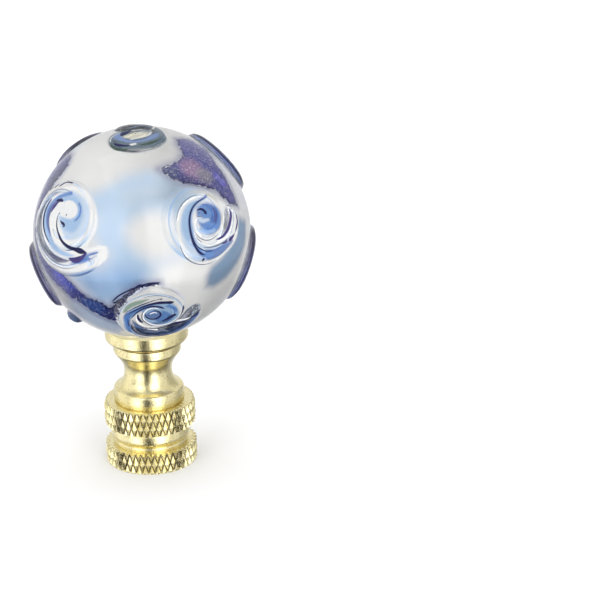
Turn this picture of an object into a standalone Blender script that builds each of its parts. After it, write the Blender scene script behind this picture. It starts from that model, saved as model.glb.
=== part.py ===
"""Lamp shade finial: a glass ball with raised swirls on a seat collar and a knurled brass base.

Metres, +Z up. The finial stands on the lip of its underside, with its axis on Z and its front to -Y.
"""

from math import cos, pi, radians, sin, sqrt

import bmesh
import bpy
from mathutils import Vector

# Fit between pieces that touch
CLEARANCE = 0.0003

# Knurled rings and the waist between them
BASE_RADIUS = 0.00635
RING_CHAMFER = 0.00015
LOWER_RING_HEIGHT = 0.00285
WAIST_HEIGHT = 0.00265
WAIST_RADIUS = 0.0054
WAIST_COVE = 0.0002
UPPER_RING_HEIGHT = 0.00355
KNURL_COUNT = 44
KNURL_PITCH = 0.00142
KNURL_DEPTH = 0.0003

# Underside: lip, dish and threaded bore, whose radius is the thread's pitch radius
LIP_WIDTH = 0.0007
DISH_DEPTH = 0.0011
BORE_RADIUS = 0.00287
BORE_MOUTH_CHAMFER = 0.00025
BORE_DEPTH = 0.009

# Bell, neck and flange
GROOVE_HEIGHT = 0.00025
GROOVE_DEPTH = 0.00027
BELL_RADIUS = 0.00487
BELL_BAND_HEIGHT = 0.0014
FLARE_HEIGHT = 0.0026
FLARE_POWER = 1.8
NECK_RADIUS = 0.0034
NECK_HEIGHT = 0.0017
NECK_FLARE = 0.00035
NECK_GROOVE_HEIGHT = 0.0015
NECK_GROOVE_DEPTH = 0.0003
FLANGE_RADIUS = 0.00474
FLANGE_HEIGHT = 0.00125
FLANGE_CHAMFER = 0.00015

# Seat collar
COLLAR_RADIUS = 0.00583
COLLAR_HEIGHT = 0.00215
COLLAR_UNDERCUT_HEIGHT = 0.00065
COLLAR_RIM_WIDTH = 0.00023

# Glass ball, a little flatter than round
BALL_RADIUS = 0.015
BALL_HALF_HEIGHT = 0.0146

# Raised glass trails, each coiled about its own centre
TRAIL_HALF_WIDTH = 0.0013
TRAIL_RELIEF = 0.00085
COIL_START = 0.001
COIL_END = 0.0058
HEART_FULLNESS = 0.45
HEART_SHARE = 0.3
TAIL_FULLNESS = 0.6
POLE_SIZE = 0.75
POLE_TURNS = 1.2
RING_TURNS = 1.55

# Azimuth from the front, latitude, share of the coil's size and tail angle, in degrees
POLE_SWIRL = (-33, 85.5, POLE_SIZE, 150)
UPPER_SWIRLS = [(-48, 24, 1.2, -33), (37, 26, 1.0, -3), (123, 34, 1.0, -30), (-140, 30, 1.1, -20)]
LOWER_SWIRLS = [(7, -25, 1.0, -10), (97, -21, 1.05, -25), (-175, -23, 1.0, -15), (-86, -26, 1.15, -45)]

# Facets
COLLAR_FACETS = 36
BALL_FACETS = 44
FLARE_STEPS = 5
DISH_STEPS = 3
NECK_STEPS = 2
SEAT_STEPS = 4
TRAIL_SIDES = 6
TRAIL_STEPS_PER_TURN = 12
SHARP_ANGLE = radians(35)

# Heights of the stack, from the underside up
WAIST_Z = LOWER_RING_HEIGHT
UPPER_RING_Z = WAIST_Z + WAIST_HEIGHT
GROOVE_Z = UPPER_RING_Z + UPPER_RING_HEIGHT
BELL_Z = GROOVE_Z + GROOVE_HEIGHT
FLARE_Z = BELL_Z + BELL_BAND_HEIGHT
NECK_Z = FLARE_Z + FLARE_HEIGHT
NECK_GROOVE_Z = NECK_Z + NECK_HEIGHT
FLANGE_Z = NECK_GROOVE_Z + NECK_GROOVE_HEIGHT
BASE_TOP_Z = FLANGE_Z + FLANGE_HEIGHT
COLLAR_Z = BASE_TOP_Z + CLEARANCE
COLLAR_TOP_Z = COLLAR_Z + COLLAR_HEIGHT


def seat_drop(radius):
    """Height from the ball's centre down to the seat, which follows the ball at the clearance."""
    share = radius / (BALL_RADIUS + CLEARANCE)
    return (BALL_HALF_HEIGHT + CLEARANCE) * sqrt(1 - share * share)


COLLAR_SEAT_RADIUS = COLLAR_RADIUS - COLLAR_RIM_WIDTH
BALL_Z = COLLAR_TOP_Z + seat_drop(COLLAR_SEAT_RADIUS)


def clear_scene():
    for thing in list(bpy.data.objects):
        bpy.data.objects.remove(thing, do_unlink=True)


def make_material(name, color, roughness, metallic):
    material = bpy.data.materials.new(name)
    material.use_nodes = True
    shader = material.node_tree.nodes["Principled BSDF"]
    shader.inputs["Base Color"].default_value = (*color, 1)
    shader.inputs["Roughness"].default_value = roughness
    shader.inputs["Metallic"].default_value = metallic
    material.diffuse_color = (*color, 1)
    return material


def make_object(name, bm, material):
    bmesh.ops.recalc_face_normals(bm, faces=bm.faces)
    mesh = bpy.data.meshes.new(name)
    bm.to_mesh(mesh)
    bm.free()
    mesh.materials.append(material)
    mesh.shade_smooth()
    mesh.set_sharp_from_angle(angle=SHARP_ANGLE)
    thing = bpy.data.objects.new(name, mesh)
    bpy.context.scene.collection.objects.link(thing)
    return thing


def circle(bm, radius, z, count):
    turn = 2 * pi / count
    return [bm.verts.new((radius * cos(i * turn), radius * sin(i * turn), z)) for i in range(count)]


def bridge(bm, lower, upper):
    """Skin two circles that have as many points, or of which one has twice the other's."""
    if len(lower) > len(upper):
        lower, upper = upper, lower
    count = len(lower)
    for i in range(count):
        a, b = lower[i], lower[(i + 1) % count]
        if len(upper) == count:
            bm.faces.new((a, b, upper[(i + 1) % count], upper[i]))
        else:
            near, mid, far = upper[2 * i], upper[2 * i + 1], upper[(2 * i + 2) % len(upper)]
            bm.faces.new((a, b, mid))
            bm.faces.new((a, mid, near))
            bm.faces.new((b, far, mid))


def close_with_fan(bm, ring, z):
    centre = bm.verts.new((0, 0, z))
    for i, vert in enumerate(ring):
        bm.faces.new((vert, ring[(i + 1) % len(ring)], centre))


def lathe(bm, profile, count):
    """Turn a list of (radius, z) into circles, skinned from one to the next."""
    rings = [circle(bm, radius, z, count) for radius, z in profile]
    for lower, upper in zip(rings, rings[1:]):
        bridge(bm, lower, upper)
    return rings[0], rings[-1]


def knurled_band(bm, bottom, height):
    """A ring of diamonds: on a grid of half pitches, every second point is a peak."""
    columns = 2 * KNURL_COUNT
    rows = max(2, round(2 * height / KNURL_PITCH))
    turn = 2 * pi / columns
    grid = []
    for row in range(rows + 1):
        z = bottom + height * row / rows
        ring = []
        for column in range(columns):
            is_peak = (row + column) % 2
            radius = BASE_RADIUS if is_peak else BASE_RADIUS - KNURL_DEPTH
            ring.append(bm.verts.new((radius * cos(column * turn), radius * sin(column * turn), z)))
        grid.append(ring)
    for row in range(rows):
        for column in range(columns):
            after = (column + 1) % columns
            a, b = grid[row][column], grid[row][after]
            c, d = grid[row + 1][after], grid[row + 1][column]
            if (row + column) % 2 == 0:
                bm.faces.new((a, b, c))
                bm.faces.new((a, c, d))
            else:
                bm.faces.new((a, b, d))
                bm.faces.new((b, c, d))
    return grid[0], grid[-1]


def underside_profile():
    """From the bore's blind end down its wall, round the dish and out to the lip's edge."""
    mouth_radius = BORE_RADIUS + BORE_MOUTH_CHAMFER
    mouth_z = DISH_DEPTH
    lip_radius = BASE_RADIUS - LIP_WIDTH
    profile = [(BORE_RADIUS, BORE_DEPTH), (BORE_RADIUS, mouth_z + BORE_MOUTH_CHAMFER)]
    for step in range(DISH_STEPS + 1):
        share = step / DISH_STEPS
        radius = mouth_radius + (lip_radius - mouth_radius) * share
        profile.append((radius, DISH_DEPTH * cos(share * pi / 2)))
    profile.append((BASE_RADIUS - RING_CHAMFER, 0))
    return profile


def waist_profile():
    ring_edge = BASE_RADIUS - KNURL_DEPTH - RING_CHAMFER
    middle = (WAIST_Z + UPPER_RING_Z) / 2
    return [
        (ring_edge, WAIST_Z),
        (WAIST_RADIUS, WAIST_Z),
        (WAIST_RADIUS - WAIST_COVE, middle),
        (WAIST_RADIUS, UPPER_RING_Z),
        (ring_edge, UPPER_RING_Z),
    ]


def bell_and_flange_profile():
    profile = [
        (BASE_RADIUS - KNURL_DEPTH - RING_CHAMFER, GROOVE_Z),
        (BELL_RADIUS - GROOVE_DEPTH, GROOVE_Z),
        (BELL_RADIUS - GROOVE_DEPTH, BELL_Z),
        (BELL_RADIUS, BELL_Z),
    ]
    for step in range(FLARE_STEPS + 1):
        share = step / FLARE_STEPS
        radius = NECK_RADIUS + (BELL_RADIUS - NECK_RADIUS) * (1 - share) ** FLARE_POWER
        profile.append((radius, FLARE_Z + FLARE_HEIGHT * share))
    for step in range(1, NECK_STEPS + 1):
        share = step / NECK_STEPS
        profile.append((NECK_RADIUS + NECK_FLARE * share * share, NECK_Z + NECK_HEIGHT * share))
    groove_radius = NECK_RADIUS + NECK_FLARE - NECK_GROOVE_DEPTH
    profile += [
        (groove_radius, NECK_GROOVE_Z),
        (groove_radius, FLANGE_Z),
        (FLANGE_RADIUS - FLANGE_CHAMFER, FLANGE_Z),
        (FLANGE_RADIUS, FLANGE_Z + FLANGE_CHAMFER),
        (FLANGE_RADIUS, BASE_TOP_Z - FLANGE_CHAMFER),
        (FLANGE_RADIUS - FLANGE_CHAMFER, BASE_TOP_Z),
    ]
    return profile


def make_base(material):
    bm = bmesh.new()
    bore_end, lip_edge = lathe(bm, underside_profile(), KNURL_COUNT)
    close_with_fan(bm, bore_end, BORE_DEPTH)
    lower_height = LOWER_RING_HEIGHT - 2 * RING_CHAMFER
    lower_start, lower_end = knurled_band(bm, RING_CHAMFER, lower_height)
    bridge(bm, lip_edge, lower_start)
    waist_start, waist_end = lathe(bm, waist_profile(), KNURL_COUNT)
    bridge(bm, lower_end, waist_start)
    upper_height = UPPER_RING_HEIGHT - 2 * RING_CHAMFER
    upper_start, upper_end = knurled_band(bm, UPPER_RING_Z + RING_CHAMFER, upper_height)
    bridge(bm, waist_end, upper_start)
    bell_start, flange_top = lathe(bm, bell_and_flange_profile(), KNURL_COUNT)
    bridge(bm, upper_end, bell_start)
    close_with_fan(bm, flange_top, BASE_TOP_Z)
    return make_object("brass_base", bm, material)


def make_collar(material):
    """Undercut below, straight outside, dished on top to seat the ball."""
    bm = bmesh.new()
    undercut_z = COLLAR_Z + COLLAR_UNDERCUT_HEIGHT
    undercut_width = COLLAR_RADIUS - FLANGE_RADIUS
    profile = [
        (FLANGE_RADIUS, COLLAR_Z),
        (FLANGE_RADIUS + undercut_width * sin(pi / 6), undercut_z - COLLAR_UNDERCUT_HEIGHT * cos(pi / 6)),
        (FLANGE_RADIUS + undercut_width * sin(pi / 3), undercut_z - COLLAR_UNDERCUT_HEIGHT * cos(pi / 3)),
        (COLLAR_RADIUS, undercut_z),
        (COLLAR_RADIUS, COLLAR_TOP_Z),
    ]
    for step in range(SEAT_STEPS):
        radius = COLLAR_SEAT_RADIUS * (1 - step / SEAT_STEPS)
        profile.append((radius, BALL_Z - seat_drop(radius)))
    underside, seat = lathe(bm, profile, COLLAR_FACETS)
    close_with_fan(bm, underside, COLLAR_Z)
    close_with_fan(bm, seat, BALL_Z - seat_drop(0))
    return make_object("seat_collar", bm, material)


def swirl_frame(azimuth, latitude):
    """Outward, east and north on the ball, at an azimuth measured from the front."""
    around, up = radians(azimuth), radians(latitude)
    outward = Vector((sin(around) * cos(up), -cos(around) * cos(up), sin(up)))
    east = Vector((cos(around), sin(around), 0))
    return outward, east, outward.cross(east)


def on_ball(direction, height):
    """The point over the ball's flattened surface in a direction, at a height above it."""
    surface = Vector((direction.x, direction.y, direction.z * BALL_HALF_HEIGHT / BALL_RADIUS)) * BALL_RADIUS
    return surface + direction * height


def coil_direction(frame, size, tail_angle, turns, share):
    """Where the trail's middle runs, from the coil's heart (share 0) to its tail (share 1)."""
    outward, east, north = frame
    reach = (COIL_START + (COIL_END - COIL_START) * share) * size / BALL_RADIUS
    angle = radians(tail_angle) - 2 * pi * turns * (1 - share)
    sideways = east * cos(angle) + north * sin(angle)
    return outward * cos(reach) + sideways * sin(reach)


def trail_fullness(share):
    """The trail's width and relief as a share of the full ones: slim at the heart, blunt at the tail."""
    if share == 1:
        return TAIL_FULLNESS
    return min(1, HEART_FULLNESS + (1 - HEART_FULLNESS) * share / HEART_SHARE)


def add_trail(bm, swirl, turns):
    """A half-sunk round trail along the coil."""
    azimuth, latitude, size, tail_angle = swirl
    frame = swirl_frame(azimuth, latitude)
    steps = round(TRAIL_STEPS_PER_TURN * turns)
    rings = []
    for step in range(steps + 1):
        share = step / steps
        here = coil_direction(frame, size, tail_angle, turns, share)
        before = coil_direction(frame, size, tail_angle, turns, share - 0.5 / steps)
        after = coil_direction(frame, size, tail_angle, turns, share + 0.5 / steps)
        side = (after - before).normalized().cross(here)
        fullness = trail_fullness(share)
        ring = []
        for i in range(TRAIL_SIDES):
            angle = 2 * pi * i / TRAIL_SIDES
            across = side * TRAIL_HALF_WIDTH * fullness * cos(angle)
            ring.append(bm.verts.new(on_ball(here, TRAIL_RELIEF * fullness * sin(angle)) + across))
        rings.append(ring)
    for lower, upper in zip(rings, rings[1:]):
        bridge(bm, lower, upper)
    bm.faces.new(rings[0])
    bm.faces.new(rings[-1])


def make_ball(material):
    trails = bmesh.new()
    add_trail(trails, POLE_SWIRL, POLE_TURNS)
    for swirl in UPPER_SWIRLS + LOWER_SWIRLS:
        add_trail(trails, swirl, RING_TURNS)
    cutter = make_object("trail_guide", trails, material)
    cutter.hide_render = True
    cutter.display_type = "WIRE"
    bm = bmesh.new()
    bmesh.ops.create_uvsphere(bm, u_segments=BALL_FACETS, v_segments=BALL_FACETS // 2, radius=BALL_RADIUS)
    bmesh.ops.scale(bm, verts=bm.verts, vec=(1, 1, BALL_HALF_HEIGHT / BALL_RADIUS))
    ball = make_object("glass_ball", bm, material)
    join = ball.modifiers.new("raised trails", "BOOLEAN")
    join.operation = "UNION"
    join.object = cutter
    ball.location.z = BALL_Z
    cutter.location.z = BALL_Z
    return ball


def main():
    clear_scene()
    brass = make_material("satin_brass", (0.80, 0.70, 0.42), 0.28, 1.0)
    glass = make_material("blue_swirl_glass", (0.62, 0.74, 0.90), 0.05, 0.0)
    make_base(brass)
    make_collar(brass)
    make_ball(glass)


main()
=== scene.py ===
from math import cos, pi, radians, sin, sqrt

import bmesh
import bpy
import numpy as np
from mathutils import Matrix, Vector, noise


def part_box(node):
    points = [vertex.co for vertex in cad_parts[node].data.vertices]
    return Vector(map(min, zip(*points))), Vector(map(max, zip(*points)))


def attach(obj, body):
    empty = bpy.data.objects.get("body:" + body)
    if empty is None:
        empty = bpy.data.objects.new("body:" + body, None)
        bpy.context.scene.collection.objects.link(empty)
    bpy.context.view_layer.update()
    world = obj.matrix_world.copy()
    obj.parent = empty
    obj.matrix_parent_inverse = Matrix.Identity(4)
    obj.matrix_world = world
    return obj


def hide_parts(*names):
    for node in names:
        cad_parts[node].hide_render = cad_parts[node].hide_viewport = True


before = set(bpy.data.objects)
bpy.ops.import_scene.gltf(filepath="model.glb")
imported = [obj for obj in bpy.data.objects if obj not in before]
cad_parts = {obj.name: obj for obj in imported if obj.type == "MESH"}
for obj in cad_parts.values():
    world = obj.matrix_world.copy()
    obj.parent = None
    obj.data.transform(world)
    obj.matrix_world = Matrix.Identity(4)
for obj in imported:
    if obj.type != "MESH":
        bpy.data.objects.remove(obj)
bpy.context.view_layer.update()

# Places and sizes from the frame, in metres
BASE_LOW, BASE_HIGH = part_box("brass_base")
COLLAR_LOW, COLLAR_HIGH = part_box("seat_collar")
BASE_RADIUS = (BASE_HIGH[0] - BASE_LOW[0]) / 2
BASE_TOP = BASE_HIGH[2]
COLLAR_RADIUS = (COLLAR_HIGH[0] - COLLAR_LOW[0]) / 2
COLLAR_TOP = COLLAR_HIGH[2]

# Knurled rings and waist
RING_CHAMFER = .00015
LOWER_RING_TOP = .00285
UPPER_RING_BOTTOM = .0055
UPPER_RING_TOP = .00905
WAIST = [
    (.00505, .00285, .0001), (.00505, .003, .00004), (.00516, .00306, .00005), (.00516, .00322, .00005),
    (.00502, .00335, .0001), (.00538, .00385, .0002), (.00552, .0042, .0003), (.00553, .0047, .0003),
    (.0055, .0052, .0002), (.0053, UPPER_RING_BOTTOM, .0001),
]
KNURL_COUNT = 42
KNURL_PITCH = .00269
KNURL_DEPTH = .0004
KNURL_FLAT = .9
KNURL_CELLS = 8
GROOVE_SPREAD = 1.6

# Underside and thread
LIP_RADIUS = .00565
DISH_DEPTH = .0011
BORE_RADIUS = .00287
BORE_DEPTH = .009
BORE_MOUTH_CHAMFER = .00025
THREAD_PITCH = .0254 / 27
THREAD_HALF_DEPTH = .00028
THREAD_ROWS_PER_PITCH = 10
THREAD_SHARPNESS = 1.1
DISH_STEPS = 10

# Bell, neck, flange and collar
GROOVE_RADIUS = .0046
BELL_BOTTOM = .0093
BELL_RADIUS = .00487
FLARE = [
    (.00489, .01055, .0001), (.00484, .01085, .0001), (.00464, .01106, .00004), (.0044, .01118, 0),
    (.00414, .01138, 0), (.00387, .01166, 0), (.00367, .01195, 0), (.0035, .01228, 0), (.0034, .01265, 0),
    (.00334, .01305, 0), (.00333, .01345, 0),
]
NECK_COVE = [
    (.00335, .0138, 0), (.00341, .01415, 0), (.00352, .0146, 0), (.00371, .015, 0), (.00396, .0154, 0),
    (.00425, .0158, 0), (.00452, .0162, 0),
]
FLANGE_RADIUS = .00474
FLANGE_BOTTOM = .0165
SEAM_RADIUS = .00462
COLLAR_UNDERCUT_HEIGHT = .00065
COLLAR_RIM_WIDTH = .00023
SEAT_GAP = .00005
SEAM_GAP = .00002
SEAM_RECESS = .00006
COLLAR_COLUMNS = 192
UNDERCUT_STEPS = 6
SEAT_STEPS = 8
CREASE = radians(28)
AXIS_RADIUS = .00001

# Glass ball and its raised trails
BALL_RADIUS = .015
BALL_HALF_HEIGHT = .0146
BALL_BOTTOM_CLEARANCE = .0003
BALL_Z = COLLAR_TOP + (BALL_HALF_HEIGHT + BALL_BOTTOM_CLEARANCE) * sqrt(
    1 - ((COLLAR_RADIUS - COLLAR_RIM_WIDTH) / (BALL_RADIUS + BALL_BOTTOM_CLEARANCE)) ** 2)
TRAIL_HALF_WIDTH = .0013
TRAIL_RELIEF = .00077
COIL_START = .001
COIL_END = .0058
HEART_FULLNESS = .45
HEART_SHARE = .3
TAIL_ROUNDING = .0012
HEART_RADIUS = .0013
HEART_RELIEF = .75
POLE_TURNS = 1.2
RING_TURNS = 1.55
VALLEY_FILL = .75
VALLEY_OPENS = .7
COIL_SAMPLES = 260
SEARCH_CHUNK = 4000
TRAIL_FLATNESS = 2.4
TRAIL_CROWN = .8
FAR_ACROSS = 9.0
BALL_SUBDIVISIONS = 7
FINE_REACH = 1.35

# Azimuth from the front, latitude, share of the coil's size, tail angle and share of the relief
POLE_SWIRLS = [(-33, 85.5, .75, 150, .6)]
RING_SWIRLS = [
    (-48, 24, 1.2, -33, 1), (37, 26, 1.0, -3, 1), (123, 34, 1.0, -30, 1), (-140, 30, 1.1, -20, 1),
    (7, -25, 1.0, -10, 1), (97, -21, 1.05, -25, .96), (-175, -23, 1.0, -15, .2), (-86, -26, 1.15, -45, 1),
]
SWIRLS = [(swirl, POLE_TURNS) for swirl in POLE_SWIRLS] + [(swirl, RING_TURNS) for swirl in RING_SWIRLS]


# Mesh helpers

def make_object(name, verts, faces, material, sharp_angle=None):
    mesh = bpy.data.meshes.new(name)
    mesh.from_pydata([tuple(v) for v in verts], [], [tuple(f) for f in faces])
    mesh.materials.append(material)
    mesh.shade_smooth()
    if sharp_angle is not None:
        mesh.set_sharp_from_angle(angle=sharp_angle)
    thing = bpy.data.objects.new(name, mesh)
    bpy.context.scene.collection.objects.link(thing)
    return thing


def paint(thing, name, colors):
    """Give each vertex a colour."""
    layer = thing.data.color_attributes.new(name, "FLOAT_COLOR", "POINT")
    rgba = np.concatenate([colors, np.ones((len(colors), 1))], axis=1)
    layer.data.foreach_set("color", rgba.astype(np.float32).ravel())


def grid_faces(rows, columns, start=0):
    """Quads between neighbouring rows of a grid that closes on itself across its columns."""
    row = np.arange(rows - 1)[:, None] * columns + start
    here = np.arange(columns)[None, :]
    after = (here + 1) % columns
    quads = np.stack([row + here, row + after, row + columns + after, row + columns + here], axis=-1)
    return quads.reshape(-1, 4).tolist()


MOST_ROUNDING = .45


def softened(corners, steps=4):
    """A profile of (radius, z, rounding) with each rounded corner as a short curve."""
    points = []
    for i, (radius, z, rounding) in enumerate(corners):
        here = np.array([radius, z])
        if rounding == 0 or i in (0, len(corners) - 1):
            points.append(here)
            continue
        ends = []
        for neighbour in (corners[i - 1], corners[i + 1]):
            way = np.array(neighbour[:2]) - here
            length = np.linalg.norm(way)
            ends.append(here + way / length * min(rounding, length * MOST_ROUNDING))
        start, end = ends
        for step in range(steps + 1):
            t = step / steps
            points.append((1 - t) ** 2 * start + 2 * t * (1 - t) * here + t * t * end)
    return points


def smoothstep(x):
    x = np.clip(x, 0, 1)
    return x * x * (3 - 2 * x)


def turned_row(radii, around, z):
    """One row of a turned piece's vertices."""
    return np.stack([radii * np.cos(around), radii * np.sin(around), np.full(len(around), z)], axis=-1)


def turned_piece(name, rows, groove_shade, material):
    """A smooth piece from rows of vertices round the axis, with painted shade for its grooves as a colour on its
    vertices.
    """
    piece = make_object(name, np.concatenate(rows), grid_faces(len(rows), len(rows[0])), material, CREASE)
    paint(piece, "groove_shade", np.repeat(np.ravel(groove_shade)[:, None], 3, axis=1))
    return piece


# Brass base and collar

def knurl_relief(around, z):
    """0 at a groove and 1 on a diamond's flat, for two crossing sets of grooves."""
    u = around * KNURL_COUNT / (2 * pi)
    v = z / KNURL_PITCH
    first = np.abs((u + v) - np.round(u + v)) * 2
    second = np.abs((u - v) - np.round(u - v)) * 2
    return np.minimum(1, np.minimum(first, second) / KNURL_FLAT)


def knurl_rows(bottom, top):
    count = round((top - bottom) / KNURL_PITCH * KNURL_CELLS * 2)
    return [bottom + (top - bottom) * i / count for i in range(count + 1)]


def base_profile():
    """Stations (radius, z, kind) from the bore's blind end out over the outside to the flange's top."""
    stations = [(AXIS_RADIUS, BORE_DEPTH, "plain")]
    thread_bottom = DISH_DEPTH + BORE_MOUTH_CHAMFER
    thread_rows = round((BORE_DEPTH - thread_bottom) / THREAD_PITCH * THREAD_ROWS_PER_PITCH)
    for i in range(thread_rows + 1):
        z = BORE_DEPTH + (thread_bottom - BORE_DEPTH) * i / thread_rows
        stations.append((BORE_RADIUS, z, "thread"))
    mouth_radius = BORE_RADIUS + THREAD_HALF_DEPTH + BORE_MOUTH_CHAMFER
    corners = [(BORE_RADIUS + THREAD_HALF_DEPTH, thread_bottom, 0), (mouth_radius, DISH_DEPTH, .00004)]
    for i in range(1, DISH_STEPS + 1):
        share = i / DISH_STEPS
        radius = mouth_radius + (LIP_RADIUS - mouth_radius) * share
        corners.append((radius, DISH_DEPTH * cos(share * pi / 2), .00006 if share == 1 else 0))
    ring_edge = BASE_RADIUS - KNURL_DEPTH - RING_CHAMFER
    corners.append((BASE_RADIUS - RING_CHAMFER, 0, 0))
    stations += [(r, z, "plain") for r, z in softened(corners)]
    stations += [(BASE_RADIUS, z, "knurl") for z in knurl_rows(RING_CHAMFER, LOWER_RING_TOP - RING_CHAMFER)]
    corners = [(ring_edge, LOWER_RING_TOP, 0)] + WAIST + [(ring_edge, UPPER_RING_BOTTOM, 0)]
    stations += [(r, z, "plain") for r, z in softened(corners)]
    rows = knurl_rows(UPPER_RING_BOTTOM + RING_CHAMFER, UPPER_RING_TOP - RING_CHAMFER)
    stations += [(BASE_RADIUS, z, "knurl") for z in rows]
    corners = [
        (ring_edge, UPPER_RING_TOP, .0001), (GROOVE_RADIUS, UPPER_RING_TOP, .00006),
        (GROOVE_RADIUS, BELL_BOTTOM, .00006), (BELL_RADIUS, BELL_BOTTOM, .00008),
    ]
    corners += FLARE + NECK_COVE
    corners += [
        (FLANGE_RADIUS, FLANGE_BOTTOM, .00018), (FLANGE_RADIUS, BASE_TOP, .00018),
        (SEAM_RADIUS - .0006, BASE_TOP, 0), (AXIS_RADIUS, BASE_TOP, 0),
    ]
    stations += [(r, z, "plain") for r, z in softened(corners)]
    return stations


def make_base(material):
    columns = KNURL_COUNT * KNURL_CELLS
    around = np.arange(columns) * 2 * pi / columns
    rows, groove_shade = [], []
    for radius, z, kind in base_profile():
        radii, relief = np.full(columns, radius), np.ones(columns)
        if kind == "knurl":
            relief = knurl_relief(around, z)
            radii = radius - KNURL_DEPTH * (1 - relief)
        if kind == "thread":
            phase = (z / THREAD_PITCH - around / (2 * pi)) % 1
            radii = radius + THREAD_HALF_DEPTH * np.clip(THREAD_SHARPNESS * (1 - 4 * np.abs(phase - .5)), -1, 1)
        rows.append(turned_row(radii, around, z))
        # Painted shade: a darker colour down in the knurl grooves, 1 on the flats and on plain turned faces.
        groove_shade.append(np.minimum(1, relief * GROOVE_SPREAD))
    return turned_piece("knurled_base", rows, groove_shade, material)


def make_collar(brass, seam):
    """The collar with its dished seat, standing on the dark seam over the flange."""
    seat_radius = COLLAR_RADIUS - COLLAR_RIM_WIDTH
    undercut_top = COLLAR_LOW[2] + COLLAR_UNDERCUT_HEIGHT
    width = COLLAR_RADIUS - FLANGE_RADIUS
    seam_bottom = BASE_TOP + SEAM_GAP
    seam_top = COLLAR_LOW[2] - SEAM_RECESS
    corners = [(AXIS_RADIUS, seam_bottom, 0), (SEAM_RADIUS, seam_bottom, 0), (SEAM_RADIUS, seam_top, 0)]
    seam_rows = len(corners)
    corners.append((FLANGE_RADIUS - .00004, seam_top, .00004))
    for i in range(UNDERCUT_STEPS + 1):
        turn = i / UNDERCUT_STEPS * pi / 2
        z = undercut_top - COLLAR_UNDERCUT_HEIGHT * cos(turn)
        corners.append((FLANGE_RADIUS + width * sin(turn), z, .0001 if i == UNDERCUT_STEPS else 0))
    corners += [(COLLAR_RADIUS, COLLAR_TOP, .0001), (seat_radius, COLLAR_TOP, .00005)]
    for i in range(1, SEAT_STEPS + 1):
        radius = max(AXIS_RADIUS, seat_radius * (1 - i / SEAT_STEPS))
        share = radius / BALL_RADIUS
        corners.append((radius, BALL_Z - (BALL_HALF_HEIGHT + SEAT_GAP) * sqrt(1 - share * share), 0))
    around = np.arange(COLLAR_COLUMNS) * 2 * pi / COLLAR_COLUMNS
    rows = [turned_row(radius, around, z) for radius, z in softened(corners)]
    collar = turned_piece("dished_collar", rows, np.ones((len(rows), COLLAR_COLUMNS)), brass)
    collar.data.materials.append(seam)
    for polygon in collar.data.polygons[:(seam_rows - 1) * COLLAR_COLUMNS]:
        polygon.material_index = 1
    return collar


# Directions on the ball and the coils on it

def unit(vectors):
    return vectors / np.linalg.norm(vectors, axis=-1, keepdims=True)


def metres_from(directions, place):
    """How far each direction lies from another one over the ball."""
    return np.arccos(np.clip(directions @ place, -1, 1)) * BALL_RADIUS


def direction(azimuth, latitude):
    around, up = radians(azimuth), radians(latitude)
    return np.array([sin(around) * cos(up), -cos(around) * cos(up), sin(up)])


def on_ball(directions, height):
    """Points over the ball's flattened surface, in the frame."""
    flat = np.array([1, 1, BALL_HALF_HEIGHT / BALL_RADIUS])
    points = directions * flat * BALL_RADIUS + directions * np.asarray(height)[..., None]
    return points + np.array([0, 0, BALL_Z])


class Coil:
    """The middle line of one raised trail, from the coil's heart to its tail."""

    def __init__(self, swirl, turns):
        azimuth, latitude, self.size, tail_angle, self.relief = swirl
        self.outward = direction(azimuth, latitude)
        east = np.array([cos(radians(azimuth)), sin(radians(azimuth)), 0])
        north = np.cross(self.outward, east)
        self.share = np.linspace(0, 1, COIL_SAMPLES)
        reach = (COIL_START + (COIL_END - COIL_START) * self.share) * self.size / BALL_RADIUS
        angle = radians(tail_angle) - 2 * pi * turns * (1 - self.share)
        sideways = np.cos(angle)[:, None] * east + np.sin(angle)[:, None] * north
        self.middle = np.cos(reach)[:, None] * self.outward + np.sin(reach)[:, None] * sideways
        along = unit(np.gradient(self.middle, axis=0))
        self.side = np.cross(along, self.middle)
        steps = np.linalg.norm(np.diff(self.middle, axis=0), axis=1) * BALL_RADIUS
        self.length = np.concatenate([[0], np.cumsum(steps)])
        self.fullness = np.minimum(1, HEART_FULLNESS + (1 - HEART_FULLNESS) * self.share / HEART_SHARE)
        to_tail = (self.length[-1] - self.length) / TAIL_ROUNDING
        self.fullness *= np.sqrt(1 - np.clip(1 - to_tail, 0, 1) ** 2 * .9)
        self.reach = (COIL_END * self.size + 2 * TRAIL_HALF_WIDTH) / BALL_RADIUS
        self.turns, self.tail, self.east, self.north = turns, radians(tail_angle), east, north

    def nearest(self, directions):
        """For each direction: its distance across the trail in half widths, its side and its place along."""
        across = np.full(len(directions), FAR_ACROSS)
        place = np.zeros(len(directions), int)
        near = np.nonzero(directions @ self.outward > cos(self.reach))[0]
        for chunk in np.array_split(near, max(1, len(near) // SEARCH_CHUNK)):
            if len(chunk) == 0:
                continue
            gaps = np.linalg.norm(directions[chunk][:, None] - self.middle[None], axis=2) * BALL_RADIUS
            shares = gaps / (TRAIL_HALF_WIDTH * self.fullness)[None]
            best = shares.argmin(axis=1)
            sign = np.sign(np.einsum("ij,ij->i", directions[chunk] - self.middle[best], self.side[best]))
            across[chunk] = shares[np.arange(len(chunk)), best] * np.where(sign == 0, 1, sign)
            place[chunk] = best
        return across, place


COILS = [Coil(swirl, turns) for swirl, turns in SWIRLS]


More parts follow.
